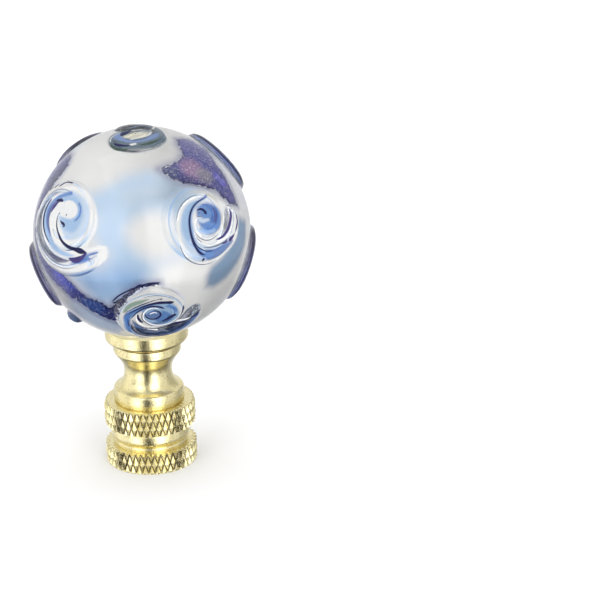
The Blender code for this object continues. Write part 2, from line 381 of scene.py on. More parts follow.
def valley_floor(coil, directions):
    """How much of the relief fills the valley between a coil's turns: most within, none beside the free tail."""
    out = metres_from(directions, coil.outward) / coil.size
    angle = np.arctan2(directions @ coil.north, directions @ coil.east)
    behind = ((coil.tail - angle) / (2 * pi)) % 1
    filled = np.zeros(len(directions))
    for turn in range(3):
        share = 1 - (behind + turn) / coil.turns
        under = (share >= 0) & (out < COIL_START + (COIL_END - COIL_START) * share)
        filled = np.where(under, VALLEY_FILL * (1 - smoothstep((share - VALLEY_OPENS) / (1 - VALLEY_OPENS))), filled)
    return filled


def trail_height(directions):
    """Relief of the raised trails over the ball, and how far across the nearest trail each place is."""
    height = np.zeros(len(directions))
    across = np.full(len(directions), FAR_ACROSS)
    for coil in COILS:
        here, place = coil.nearest(directions)
        inside = np.abs(here) < 1
        full = TRAIL_RELIEF * coil.relief
        rise = full * coil.fullness[place] * (1 - np.minimum(1, np.abs(here)) ** TRAIL_FLATNESS) ** TRAIL_CROWN
        height = np.maximum(height, np.where(inside, rise, 0))
        from_heart = metres_from(directions, coil.outward) / (HEART_RADIUS * coil.size)
        height = np.maximum(height, HEART_RELIEF * full * (1 - np.minimum(1, from_heart) ** 2) ** TRAIL_CROWN)
        height = np.maximum(height, full * valley_floor(coil, directions))
        across = np.where(np.abs(here) < np.abs(across), here, across)
    return height, across


def ball_directions():
    """An even sphere of directions, finer where the trails run."""
    bm = bmesh.new()
    bmesh.ops.create_icosphere(bm, subdivisions=BALL_SUBDIVISIONS, radius=1)
    directions = unit(np.array([v.co for v in bm.verts]))
    _, across = trail_height(directions)
    fine = np.abs(across) < FINE_REACH
    edges = [e for e in bm.edges if fine[e.verts[0].index] or fine[e.verts[1].index]]
    bmesh.ops.subdivide_edges(bm, edges=edges, cuts=1, use_grid_fill=True)
    bmesh.ops.triangulate(bm, faces=[f for f in bm.faces if len(f.verts) > 3])
    verts = unit(np.array([v.co for v in bm.verts]))
    faces = [[v.index for v in f.verts] for f in bm.faces]
    bm.free()
    return verts, faces


# Regions of colour on the ball, as outlines in azimuth and latitude

RIGHT_PATCH = [
    (90, 69), (69, 66), (60, 61), (44, 59), (22, 58), (29, 51), (36, 47), (45, 43), (58, 37), (66, 25), (72, 21),
    (75, 29), (80, 39), (85, 46), (98, 52), (104, 61),
]
LEFT_PATCH = [
    (-113, 48), (-90, 52), (-80, 49), (-77, 43), (-78, 37), (-77, 32), (-75, 27), (-76, 19), (-73, 14), (-68, 7),
    (-64, 2), (-57, -3), (-49, -4), (-39, -11), (-33, -17), (-44, -21), (-51, -16), (-59, -13), (-68, -7), (-73, -2),
    (-77, 3), (-82, 10), (-86, 19), (-89, 30), (-109, 36),
]
LOWER_PATCH = [
    (-40, -16), (-31, -17), (-24, -19), (-19, -22), (-14, -17), (-7, -10), (-2, -6), (9, -5), (9, -6), (0, -8),
    (-7, -14), (-12, -21), (-17, -34), (-23, -32), (-32, -27), (-40, -21),
]
# Each flake patch: outline, colour, zones of other colour, raggedness and seed
PATCHES = {
    "right": (RIGHT_PATCH, (.1, .1, .4), [
        (53, 52, .0028, (.4, .25, .44)), (27, 53, .003, (.03, .045, .22)),
        (40, 44, .0024, (.035, .03, .2)), (49, 39, .0022, (.04, .03, .22)),
        (70, 41, .001, (.2, .19, .72)), (71, 36, .001, (.2, .19, .72)),
        (60, 45, .002, (.32, .3, .4)),
    ], .00045, 3.1),
    "left": (LEFT_PATCH, (.06, .06, .32), [
        (-48, -5, .003, (.09, .1, .64)), (-38, -12, .003, (.02, .06, .55)),
        (-75, 20, .0018, (.12, .09, .9)), (-75, 40, .004, (.16, .15, .24)),
    ], .00035, 7.7),
    "lower": (LOWER_PATCH, (.008, .016, .16), [
        (-30, -22, .003, (.03, .1, .34)), (-14, -18, .003, (.002, .003, .09)),
    ], .0003, 12.4),
}
# Soft colour in the glass, with painted shade and painted light in the neutral grey ones: (outline, colour, softness,
# strength)
HAZES_AND_PAINTED_LIGHT = [
    # Painted shade: a darker grey over the clear glass at the top right.
    ([(58, 66), (70, 50), (43, 58), (19, 53), (2, 50), (20, 70), (43, 80)], (.38, .38, .37), .004, .9),
    # Painted light: a lighter grey than the plain glass at the top left.
    ([(-75, 60), (-50, 40), (-30, 45), (-15, 62), (-40, 75)], (.72, .72, .7), .003, .9),
    ([(-36, 41), (-26, 47), (-10, 55), (10, 58), (27, 53), (38, 43), (36, 30), (36, 16), (30, 8), (20, 5), (14, 3),
        (11, -3), (7, -7), (1, -7), (-7, -12), (-14, -17), (-24, -18), (-31, -12), (-38, -6), (-34, -1), (-21, 3),
        (-17, 11), (-22, 15), (-26, 20), (-27, 29), (-31, 34)], (.27, .47, .78), .0016, .95),
    ([(-12, 44), (0, 48), (14, 50), (24, 46), (20, 40), (4, 40), (-8, 38)], (.42, .56, .72), .002, .7),
    ([(-38, -4), (-31, 2), (-21, 4), (-12, 6), (-2, 3), (5, -2), (1, -7), (-7, -12), (-14, -17), (-24, -18),
        (-31, -12)], (.065, .21, .6), .0026, .9), ([(23, 54), (40, 47), (54, 40), (64, 34), (36, 40), (23, 34),
        # The pale near-white entries that follow (.8 and .95) leave the blue out and add painted light, brighter than
        # the plain glass.
        (16, 42)], (.11, .18, .29), .0018, .85), ([(-8, 25), (-3, 31), (5, 34), (13, 34), (20, 28), (20, 18),
        (19, 10), (12, 8), (5, 9), (-1, 13), (-6, 18)], (.8, .8, .78), .0016, 1), ([(10, 4), (24, 7), (33, 0),
        (36, -10), (34, -24), (22, -26), (14, -14), (6, -6)], (.95, .95, .94), .0026, 1),
    ([(36, -14), (36, -7), (39, -2), (47, 1), (54, 5), (61, 11), (69, 16), (77, 10), (71, -1), (61, -9), (51, -14),
        (42, -16)], (.03, .095, .23), .0008, .97), ([(-46, -20), (-30, -24), (-14, -30), (-10, -39), (-20, -47),
        (-38, -46), (-54, -33)], (.16, .27, .5), .0016, .85), ([(95, -2), (112, 10), (140, 16), (160, 8), (168, -6),
        (150, -8), (128, -4), (112, -12)], (.22, .42, .72), .0016, .9), ([(-165, 6), (-150, 14), (-125, 10),
        (-104, 2), (-96, -8), (-112, -4), (-140, -6), (-160, -4)], (.18, .38, .7), .0016, .9),
    ([(150, 62), (-165, 68), (-120, 62), (-100, 54), (-112, 50), (-140, 54), (-175, 52), (160, 54)], (.25, .44, .74),
        .0014, .8), ([(66, 72), (98, 66), (112, 40), (100, 10), (88, -25), (74, -25), (76, 4), (78, 22), (84, 44),
        (72, 60)], (.24, .34, .52), .0012, .35),
]


def smooth_curve(points, closed=False, steps=8):
    """A smooth curve through a few points in any number of dimensions."""
    points = np.array(points, float)
    if closed:
        points = np.concatenate([points[-1:], points, points[:2]])
    else:
        points = np.concatenate([2 * points[:1] - points[1:2], points, 2 * points[-1:] - points[-2:-1]])
    curve = []
    for a, b, c, d in zip(points, points[1:], points[2:], points[3:]):
        for t in np.linspace(0, 1, steps, endpoint=False):
            bend, twist = 2 * a - 5 * b + 4 * c - d, 3 * b - a - 3 * c + d
            curve.append(.5 * (2 * b + (c - a) * t + bend * t ** 2 + twist * t ** 3))
    return np.array(curve + [points[-2]])


def line_distance(points, line):
    """How far each point lies from a run of straight pieces, and how far along its nearest place is, 0 to 1."""
    distance = np.full(len(points), 1.0)
    place = np.zeros(len(points))
    for i, (a, b) in enumerate(zip(line, line[1:])):
        edge = b - a
        t = np.clip((points - a) @ edge / max(edge @ edge, 1e-18), 0, 1)
        gap = np.linalg.norm(points - a - t[:, None] * edge, axis=1)
        closer = gap < distance
        distance[closer] = gap[closer]
        place[closer] = (i + t[closer]) / (len(line) - 1)
    return distance, place


def inside_ring(points, ring):
    """Metres inside (positive) or outside a closed ring of corners."""
    inside = np.zeros(len(points), bool)
    for a, b in zip(ring, np.roll(ring, -1, axis=0)):
        crosses = (a[1] > points[:, 1]) != (b[1] > points[:, 1])
        rise = b[1] - a[1] or 1e-12
        inside ^= crosses & (points[:, 0] < (b[0] - a[0]) * (points[:, 1] - a[1]) / rise + a[0])
    distance, _ = line_distance(points, np.concatenate([ring, ring[:1]]))
    return np.where(inside, distance, -distance)


class FlatMap:
    """Equal-distance flat coordinates, in metres, around one direction on the ball."""

    def __init__(self, heart):
        self.heart = heart
        self.east = unit(np.cross([0, 0, 1], heart))
        self.north = np.cross(heart, self.east)

    def flatten(self, vectors):
        angle = np.arccos(np.clip(vectors @ self.heart, -1, 1))
        planar = np.stack([vectors @ self.east, vectors @ self.north], axis=-1)
        length = np.maximum(np.linalg.norm(planar, axis=-1), 1e-9)
        return planar / length[..., None] * angle[..., None] * BALL_RADIUS

    def lift(self, points):
        length = np.maximum(np.linalg.norm(points, axis=-1), 1e-12)[..., None]
        angle = length / BALL_RADIUS
        across = points[..., :1] / length * self.east + points[..., 1:] / length * self.north
        return np.cos(angle) * self.heart + np.sin(angle) * across


def outline_map(outline):
    """A flat map around the middle of an outline of azimuths and latitudes, and the outline's ring on it."""
    corners = np.array([direction(a, l) for a, l in outline])
    flat = FlatMap(unit(corners.mean(axis=0)))
    return flat, flat.flatten(corners)


def inside_outline(directions, outline):
    flat, ring = outline_map(outline)
    return inside_ring(flat.flatten(directions), ring)


CLEAR = (.6, .6, .59)
PATCH_HALO = .0014
HALO_STRENGTH = .85
COVER_SOFTNESS = .0005
COVER_OVERLAP = .2
PATCH_BLUE = (.05, .07, .24)
PATCH_GREY = (.09, .1, .22)
# Each patch's outline, the tint round it and the tint over it
PATCH_TINTS = [
    (RIGHT_PATCH, PATCH_GREY, (.95, .95, .95)), (LEFT_PATCH, PATCH_BLUE, (.62, .67, .93)),
    (LOWER_PATCH, PATCH_BLUE, (.66, .72, .93)),
]
# Glass tints. Light takes the square root of a tint where it passes the surface, so they look paler than they are.
TONES = {
    "white": (.86, .86, .85), "pale": (.38, .54, .8), "sky": (.15, .32, .68), "blue": (.02, .085, .4),
    "deep": (.006, .012, .11), "steel": (.026, .07, .29), "violet": (.065, .055, .21),
    # Mint in the lower swirl and cream in the top swirl are painted reflections of the brass seen through the glass.
    "lilac": (.13, .12, .27), "teal": (.012, .028, .045), "mint": (.12, .24, .17),
    "cream": (.52, .49, .35),
}

# The drawn swirls, in millimetres around each heart. A fill is (tint, softness, corners), a stroke is
# (tint, softness, angles, radii, half widths) and a thread is (angles, radii, half widths), by its colour.
FRONT_LEFT_FILLS = [
    ("white", .35, [(2.1, 4.9), (4.4, 3.1), (5.4, .4), (4.8, -2.4), (7.4, -1.5), (7.2, -4), (4.8, -5.7), (2, -6.6),
        (-.9, -6.2), (-3.2, -4.5), (-4.7, -2), (-4.9, 1), (-3.3, 3.3), (-.7, 4.7)]), ("pale", .5, [(.4, 4.3),
        (3.5, 3), (4.3, -.3), (1.8, -2.1), (-.8, .1), (-2.5, 2.8)]), ("sky", .8, [(.7, 3.7), (2.6, 2.9), (3.3, .9),
        (2.4, -1), (.3, -.8), (-.6, 1.1), (-1.3, 3)]), ("sky", .5, [(-1.5, -4.3), (-3.3, -2.5), (-4.4, -.2),
        (-3.7, 2.1), (-3.2, -.4), (-1.9, -2.6), (.3, -3.9), (2.8, -4.2), (1, -4.8)]), ("blue", .45, [(5, -3.2),
        (6.6, -2.4), (5.7, -3.9), (4.2, -4.9), (2.5, -5.3), (3.6, -4.3)]),
]
FRONT_LEFT_STROKES = [
    ("blue", .3, (92, 128, 166, 206, 247), (3.9, 3.5, 3.45, 3.2, 3.35), (.28, .32, .14)),
    ("deep", .25, (119, 234), (3, 2.95), (.22, .39, .14)), ("blue", .25, (58, 36, 17), (3.5, 3.2, 2.2),
        (.19, .21, .11)), ("white", .2, (94, 69, 52, 81, 117), (1.95, 2.35, 1.95, 1.35, 1.95), (.65, .8, .8)),
    ("white", .16, (129, 198, 259, 296, 318), (2, 1.95, 2.5, 3.85, 5.4), (.75, .62, .2)),
    ("white", .2, (-22, -32), (6.95, 6.55), (.11, .14, .17)), ("white", .2, (158, 198, 239, 276, 307),
        (5.65, 4.85, 5.2, 6.05, 6.7), (.14, .27, .41)), ("white", .2, (-53, -40, -28, -17), (6.9, 7.25, 7.85, 7.75),
        (.41, .49, .41)), ("white", .2, (-17, -17, -25), (7.75, 6.75, 6.05), (.41, .26, .22)),
]
FRONT_LEFT_THREADS = {
    "navy": [((147, 244), (4.1, 4.15), (.07, .13, .04)), ((140, 244, 289, 309, 325), (1.2, 1.3, 2.65, 4.05, 5.55),
        (.04, .12, .3)), ((111, 137), (2.7, 3.25), (.11, .14, .07)), ((-193, -69, -33, -62), (.3, .25, .65, .8),
        (.04, .13, .06)), ((137, 136), (1.25, 1.1), (.08, .08, .08)), ((68, 61), (1.05, 1.1), (.08, .08, .08))],
    "violet": [((-34, -45, -58, -70), (5.5, 5.85, 5.55, 5.15), (.17, .31, .06)), ((127, 170), (2.8, 2.6),
        (.06, .2, .04))],
    "blue": [((55, 35, 17), (3.5, 3.15, 2.25), (.04, .09, .04)), ((-22, -33), (6.95, 6.25), (.06, .08, .04))],
}
FRONT_RIGHT_FILLS = [
    ("white", .35, [(-1, 2.9), (-3.5, .9), (-4.1, -2.4), (-2.8, -5.4), (.1, -6.8), (3.4, -6.1), (6.4, -4.5),
        (7.5, -1.4), (5.1, .9), (2.3, 2.7)]), ("pale", .5, [(-1.5, 2.2), (-3.2, .2), (-3.6, -2.6), (-2.4, -5),
        (.1, -6.1), (2.9, -5.5), (5.3, -4.2), (2.9, -4.1), (.2, -4.1), (-1.6, -2.1), (-1.1, .6), (1.1, 2.1)]),
    ("sky", .6, [(-1.2, 2.2), (-2.6, 1), (-3.3, -.8), (-2.8, -2.6), (-1.7, -1.6), (-1.5, 0), (-.8, 1.4), (.3, 2.3)]),
    ("steel", .35, [(-.7, -4.4), (.9, -4.6), (2.5, -4.4), (4, -4.3), (5.5, -4.7), (4.2, -5.5), (2.7, -5.8), (1.1, -6),
        (-.5, -5.8)]), ("blue", .6, [(1.8, 1.6), (3.2, 0), (2.6, -2.1), (.5, -2.6), (-.7, -.8), (-.2, 1.4)]),
    ("deep", .5, [(1.4, 1.2), (2.4, .7), (2.6, -.5), (1.9, -1.4), (1.3, -.8), (1.9, .2)]),
    ("white", .12, [(7, -.9), (6.8, -2.5), (5.4, -3.3), (3.9, -3.5), (4.6, -2), (5.6, -.7)]),
]
FRONT_RIGHT_STROKES = [
    ("sky", .4, (-111, -57), (1.6, 2.6), (.28, .22, .19)), ("pale", .3, (-159, -66, -32), (.3, .6, 1.15),
        (.33, .26, .14)), ("blue", .3, (54, 113, 196, 241, 271), (3.2, 1.75, 2.1, 3.9, 5.2), (.19, .23, .41)),
    ("cream", .25, (50, -32), (3.35, 4.35), (.22, .21, .11)),
]
FRONT_RIGHT_THREADS = {
    "white": [((-133, -106, -81, -58, -40), (2.3, 3.45, 4.1, 4.5, 5.45), (.09, .12, .11)), ((165, 234, 274, 310, 342),
        (.5, 2.05, 3.05, 3.55, 3.6), (.15, .11, .06)), ((-144, -108, -73), (4.9, 6.15, 6.35), (.07, .12, .07)),
        ((59, 101, 142, 178), (2.95, 2.8, 3.1, 3.55), (.06, .12, .09))],
    "slate": [((77, 126, 171), (3.05, 3.2, 3.7), (.03, .06, .03)), ((-150, -111, -76), (4.7, 6.35, 6.75),
        (.03, .06, .03)), ((124, 46), (.85, .45), (.04, .07, .07)), ((145, 149, 128, 32), (.8, .5, .2, .25),
        (.04, .07, .03)), ((-133, -88, -50), (2.15, 3.25, 3.75), (.03, .06, .03)), ((-129, -103), (2.5, 3.45),
        (.03, .07, .07)), ((-101, -72, -47), (4.05, 4.55, 5.2), (.04, .09, .06))],
    "navy": [((54, 110, 189, 235, 262), (3, 1.8, 2, 3.6, 5.05), (.03, .09, .11)), ((-101, -100), (5.5, 5.95),
        (.04, .15, .07)), ((108, 64, 12), (1.05, 1.1, .85), (.04, .1, .15)), ((-135, -109, -85), (2.8, 4.15, 4.8),
        (.03, .05, .03))],
    "blue": [((70, 16, -42), (1.65, 2.05, 1.55), (.03, .1, .08))],
    "violet": [((-1, -21, -42, -65), (5.55, 5, 4.65, 4), (.11, .13, .07)), ((5, -6, -20, -35, -51),
        (5.5, 7.1, 7.6, 6.6, 5.5), (.06, .13, .26)), ((-51, -64), (5.35, 4.7), (.06, .14, .04))],
}
FRONT_LOW_FILLS = [
    ("white", .35, [(.3, 4.9), (-2.4, 3.9), (-4.4, 1.8), (-5.2, -1), (-4.7, -3.8), (-3.2, -6.3), (-.4, -7.2),
        (2.5, -7.5), (5, -6.5), (6.7, -4.2), (6.5, -1.4), (4.2, -1.8), (4, 1), (2.4, 2.8)]),
    # Mint: a painted reflection of the brass seen through the glass.
    ("mint", .3, [(-3.9, 2), (-2.6, 2.9), (-.9, 3.2), (-1.8, 2.4), (-3.2, 1.6), (-4.3, .5)]),
    ("sky", .35, [(-4, .5), (-2.2, 1.9), (0, 2.4), (2.2, 2), (3.1, 0), (2.6, -2.2), (.4, -2.2), (-1.4, -1),
        (-1.9, .8), (-3.3, -.8), (-3.1, -3.1), (-1.7, -4.8), (-3.6, -3.8), (-4.2, -1.7)]),
    ("blue", .3, [(-4.2, 0), (-3.3, .9), (-2.2, 1.6), (-1, 2.1), (-.2, 2), (-1.3, 1.4), (-2.4, .8), (-3.2, -.3),
        (-3.4, -1.5), (-3.3, -2.8), (-2.8, -4), (-3.5, -3.7), (-3.9, -2.5), (-4.1, -1.3)]),
    ("blue", .35, [(.6, .4), (1.6, 1.7), (2.8, .9), (2.4, -.6), (1.1, -1.6), (-.1, -1.1)]),
    ("steel", .18, [(-3.1, -1), (-2.1, -2.4), (-.8, -3.7), (1, -4), (2.8, -3.5), (4.3, -2.6), (5.9, -1.6),
        (6.5, -2.9), (5.3, -4.2), (3.6, -4.9), (1.8, -5.1), (-.1, -4.9), (-1.8, -4.3), (-2.7, -2.8)]),
    ("steel", .15, [(-1.1, .5), (-.3, 1), (.5, .5), (.5, -.4), (-.4, -.6), (-1.3, -.3)]),
]
FRONT_LOW_STROKES = [
    ("sky", .3, (42, 9, -15), (1.6, 2.15, 2.7), (.36, .42, .28)), ("pale", .15, (-143, -102, -68), (4, 5.65, 6.65),
        (.12, .15, .08)),
]
FRONT_LOW_THREADS = {
    "white": [((161, 70), (.85, .4), (.06, .08, .06)), ((-107, -84), (3.6, 4.05), (.09, .13, .09)),
        ((170, 244, 303, 342), (2.5, 2.95, 3.8, 5.5), (.09, .14, .11)), ((68, 168, 255, 322, 370),
        (1.15, 1.7, 2, 2.8, 3.4), (.09, .11, .09))],
    "slate": [((117, 48), (3.85, 3.5), (.03, .06, .03)), ((155, 83), (.65, .5), (.04, .07, .04)), ((-86, -75, -67),
        (4.2, 4.25, 4.7), (.04, .08, .04))],
    "navy": [((170, 147, 111, 76), (4.15, 3.1, 2.7, 3.25), (.03, .06, .03)), ((80, 75), (3, 3.2), (.04, .06, .08)),
        ((178, 154, 116, 74, 43), (3.85, 2.8, 2.3, 2.4, 3.25), (.04, .1, .21)), ((-168, -224, -315),
        (3.35, 2.1, 1.55), (.04, .08, .1)), ((158, 205, 288, 399, 473), (1.3, 1.15, .65, .7, 1.05), (.03, .11, .04)),
        ((147, 224, 287, 333, 373), (1.85, 2, 2.65, 3.4, 3.8), (.04, .07, .19)), ((172, 224), (2.4, 2.3),
        (.06, .13, .1)), ((-63, -25, -3), (1.6, 1.9, 2.7), (.03, .1, .15)), ((-159, -110, -67, -31, -13),
        (3, 3.45, 3.95, 4.8, 6.75), (.03, .07, .11)), ((-152, -112, -75, -44, -18), (3.4, 4.8, 5.45, 6.55, 7),
        (.04, .11, .08))],
    "blue": [((-154, -121, -95, -72), (3.75, 5.15, 6.4, 7.4), (.04, .08, .03))],
}
TOP_FILLS = [
    ("teal", .5, [(-3.5, -.3), (-2.1, 2.8), (.8, 4.4), (3.9, 2.6), (4.2, -.7), (1.7, -3.2), (-1.6, -3.2)]),
    ("teal", .5, [(-3, -.9), (-2.3, .7), (-.8, -.8), (1.2, -.9), (2, .9), (1.6, 3), (3.5, 2.5), (4.2, .5),
        (3.5, -1.4), (1.7, -2.5), (-.1, -3.5), (-2, -2.8)]), ("steel", .4, [(-2.3, .4), (-1.4, -.6), (-.2, -1.3),
        (1.1, -1.2), (2, -.2), (2.2, 1.2), (2.6, 2.4), (3.1, 1.5), (2.9, .1), (2.2, -1), (1.1, -1.9), (-.2, -2.1),
        # The cream fill that closes this table is a painted reflection of the brass seen through the glass.
        (-1.6, -1.8), (-2.5, -.8)]), ("cream", .2, [(-1, -1), (-.3, .4), (.3, 1.7), (1.5, 1.7), (1.6, .1),
        (.5, -.9)]),
]
TOP_STROKES = [
    ("white", .2, (151, 102, 62, 16, -67), (2.6, 2.55, 2.75, 1.75, 1.25), (.1, .12, .1)),
    ("white", .2, (-61, -49), (2.65, 2.55), (.17, .17, .17)), ("white", .2, (79, 65), (4.2, 3.05), (.1, .1, .1)),
]
TOP_THREADS = {
    "white": [((180, 226), (2.75, 3.15), (.07, .09, .06))],
    "navy": [((127, 175, 219), (1.35, 1.35, 1.5), (.07, .32, .06)), ((-118, -62), (3, 2.85), (.04, .14, .07)),
        ((163, 132), (2.9, 1.5), (.06, .11, .06))],
    # Olive and cream threads: painted reflections of the brass seen through the swirl.
    "olive_brass_reflection": [((-131, -99, -67), (3.15, 3.5, 3.45), (.04, .12, .07)), ((-39, 13), (2.9, 3.65), (.04, .2, .08))],
    "cream": [((-137, -105, -179, -288, -254), (.9, .5, .1, .35, .8), (.04, .08, .07)), ((47, -7), (1.85, 1.15),
        (.04, .08, .04))],
    "slate": [((142, 116, 93, 73), (3.25, 3.2, 3.7, 3.55), (.04, .11, .04)), ((76, 45), (1.6, 2), (.04, .08, .04))],
}
REAR_STROKES = [
    ("pale", .4, (-60, 80, 220, 345), (4.6, 4.9, 5.3, 5.9), (.2, .6, .9)), ("sky", .3, (-20, 100, 220, 340),
        (5, 5.2, 5.6, 6), (.1, .3, .4)),
]
DESIGNS = {
    "front_left": (FRONT_LEFT_FILLS, FRONT_LEFT_STROKES, FRONT_LEFT_THREADS),
    "front_right": (FRONT_RIGHT_FILLS, FRONT_RIGHT_STROKES, FRONT_RIGHT_THREADS),
    "front_low": (FRONT_LOW_FILLS, FRONT_LOW_STROKES, FRONT_LOW_THREADS),
    "top": (TOP_FILLS, TOP_STROKES, TOP_THREADS),
    "rear": ([], REAR_STROKES, {}),
}
MILLIMETRE = .001
STROKE_POINTS = 40

# Navy threads beside the swirls
FREE_THREAD_HALF = .00012
FREE_THREADS = [
    [(-52, 44), (-58, 43), (-62, 39)], [(-64, 40), (-66, 37)], [(-68, 37), (-70, 34)],
    [(-71, 33), (-72, 28), (-72, 22)], [(-17, -17), (-12, -12), (-5, -8), (3, -5), (10, -5)],
]

# The other swirls' look, across the trail from the coil's inner to its outer side: body tints, heart, tail and
# threads as (place across, first and last share, half width, colour, wander)
VIOLET_BODY = [
    (-1.2, "white"), (-.8, "pale"), (-.4, "sky"), (.1, "violet"), (.5, "violet"), (.9, "lilac"), (1.2, "white"),
]
VIOLET_HEART = TONES["pale"]
VIOLET_TAIL = TONES["sky"]
VIOLET_THREADS = [
    (-.75, .1, .95, .00007, "white", .06), (.1, .2, .85, .00006, "slate", .1),
    (.6, .3, 1.0, .0001, "navy", .08), (-.3, .1, .9, .00008, "blue", .08),
]
COIL_LOOKS = ["top", "front_left", "front_right", "violet", "violet", "front_low", "violet", "rear", "violet"]
BODY_EDGE = 1.25
BODY_SOFTNESS = .3
HEART_END = .16
TAIL_START = .95
TAIL_BLEND = .03
HEART_BLEND = .1
HEART_EDGE = .0004
DESIGN_REACH = 1.4


def blend(first, second, weight):
    return first * (1 - weight[:, None]) + np.asarray(second) * weight[:, None]


def through(values, share):
    """A smooth run through a few evenly spaced values."""
    at = np.linspace(0, 1, len(values))
    return np.polyval(np.polyfit(at, values, len(values) - 1), share)


def spiral_stroke(angles, radii, halves):
    """The points and half widths, in metres, of one stroke drawn around a heart."""
    share = np.linspace(0, 1, STROKE_POINTS)
    angle, radius = np.radians(through(angles, share)), through(radii, share) * MILLIMETRE
    points = np.stack([radius * np.cos(angle), radius * np.sin(angle)], axis=-1)
    return points, np.interp(share, [0, .5, 1], halves) * MILLIMETRE


def paint_design(tint, directions, coil, look):
    """Lay one drawn swirl's fills and strokes over the glass's tints."""
    near = np.nonzero(directions @ coil.outward > cos(DESIGN_REACH * coil.reach))[0]
    points = FlatMap(coil.outward).flatten(directions[near])
    color = tint[near]
    for tone, softness, corners in DESIGNS[look][0]:
        inside = inside_ring(points, smooth_curve(np.array(corners) * MILLIMETRE, closed=True)[:-1])
        color = blend(color, TONES[tone], smoothstep(inside / softness / MILLIMETRE + .5))
    for tone, softness, angles, radii, halves in DESIGNS[look][1]:
        line, half = spiral_stroke(angles, radii, halves)
        distance, place = line_distance(points, line)
        inside = np.interp(place, np.linspace(0, 1, STROKE_POINTS), half) - distance
        color = blend(color, TONES[tone], smoothstep(inside / softness / MILLIMETRE + .5))
    tint[near] = color
    return tint


def glass_tints_and_painted_light(directions):
    tint = np.tile(CLEAR, (len(directions), 1))
    # The grey hazes paint shade and light into the glass tint.
    for outline, color, softness, strength in HAZES_AND_PAINTED_LIGHT:
        inside = inside_outline(directions, outline)
        tint = blend(tint, color, smoothstep(inside / softness / 2 + .5) * strength)
    for outline, tone, cover in PATCH_TINTS:
        inside = inside_outline(directions, outline)
        tint = blend(tint, tone, smoothstep(inside / PATCH_HALO + 1) * HALO_STRENGTH)
        tint = blend(tint, cover, smoothstep(inside / COVER_SOFTNESS + COVER_OVERLAP))
    for coil, look in zip(COILS, COIL_LOOKS):
        if look in DESIGNS:
            tint = paint_design(tint, directions, coil, look)
            continue
        across, place = coil.nearest(directions)
        share = coil.share[place]
        stops, tones = zip(*[(stop, TONES[tone]) for stop, tone in VIOLET_BODY])
        color = np.stack([np.interp(across, stops, channel) for channel in zip(*tones)], axis=-1)
        color = blend(color, VIOLET_TAIL, smoothstep((share - TAIL_START) / TAIL_BLEND + .5))
        color = blend(color, VIOLET_HEART, smoothstep((HEART_END - share) / HEART_BLEND + .5))
        inside = HEART_RADIUS * coil.size - metres_from(directions, coil.outward)
        in_heart = smoothstep(inside / HEART_EDGE + .5)
        color = blend(color, VIOLET_HEART, in_heart)
        weight = np.maximum(smoothstep((BODY_EDGE - np.abs(across)) / BODY_SOFTNESS), in_heart)
        tint = blend(tint, color, weight)
    return tint


def make_ball(material):
    directions, faces = ball_directions()
    height, _ = trail_height(directions)
    ball = make_object("swirl_glass_ball", on_ball(directions, height), faces, material)
    paint(ball, "tint", glass_tints_and_painted_light(directions))
    return ball


# Coloured threads, half in the glass, and flake-filled patches under its surface

THREAD_SIDES = 8
THREAD_BOLDNESS = {"navy": 1.6, "violet": 1.3, "blue": 1.3, "slate": 1.2, "white": 1, "cream": 1, "olive_brass_reflection": 1.3}
THREAD_THICKNESS = .00006
THREAD_SAMPLES = 90
THREAD_POINT = 12
THREAD_TIP = .05
WANDER_WAVES = 420


def add_thread(verts, faces, middle, half):
    """A thin flat thread along directions on the ball, its ends drawn out."""
    along = unit(np.gradient(middle, axis=0))
    side = np.cross(along, middle)
    turn = np.linspace(0, 2 * pi, THREAD_SIDES, endpoint=False)
    t = np.linspace(0, 1, len(middle))
    taper = np.clip(np.minimum(t, 1 - t) * THREAD_POINT, THREAD_TIP, 1) ** .6
    half = np.broadcast_to(half, len(middle))
    offset = np.cos(turn)[None] * (half * taper)[:, None] / BALL_RADIUS
    lift = (np.sin(turn)[None] * THREAD_THICKNESS / 2 * taper[:, None]).ravel()
    directions = unit(middle[:, None] + side[:, None] * offset[..., None]).reshape(-1, 3)
    start = len(verts)
    verts.extend(on_ball(directions, trail_height(directions)[0] + lift))
    faces.extend(grid_faces(len(middle), THREAD_SIDES, start))
    faces.append(list(range(start, start + THREAD_SIDES))[::-1])
    last = start + (len(middle) - 1) * THREAD_SIDES
    faces.append(list(range(last, last + THREAD_SIDES)))


def wander(length, seed, amount):
    return np.array([amount * noise.noise(Vector((l * WANDER_WAVES, seed, .5))) * 2 for l in length])


def coil_thread(coil, across, start, end, drift, seed):
    """A line along a coil, as directions."""
    share = np.linspace(start, end, THREAD_SAMPLES)
    at = share * (COIL_SAMPLES - 1)
    low = np.minimum(at.astype(int), COIL_SAMPLES - 2)
    t = at - low

    def along(values):
        first, second = values[low], values[low + 1]
        return first + (second - first) * (t if values.ndim == 1 else t[:, None])

    full = along(coil.fullness)
    place = across + wander(along(coil.length), seed, drift)
    angle = place * TRAIL_HALF_WIDTH * full / BALL_RADIUS
    return unit(along(coil.middle)) * np.cos(angle)[:, None] + unit(along(coil.side)) * np.sin(angle)[:, None]


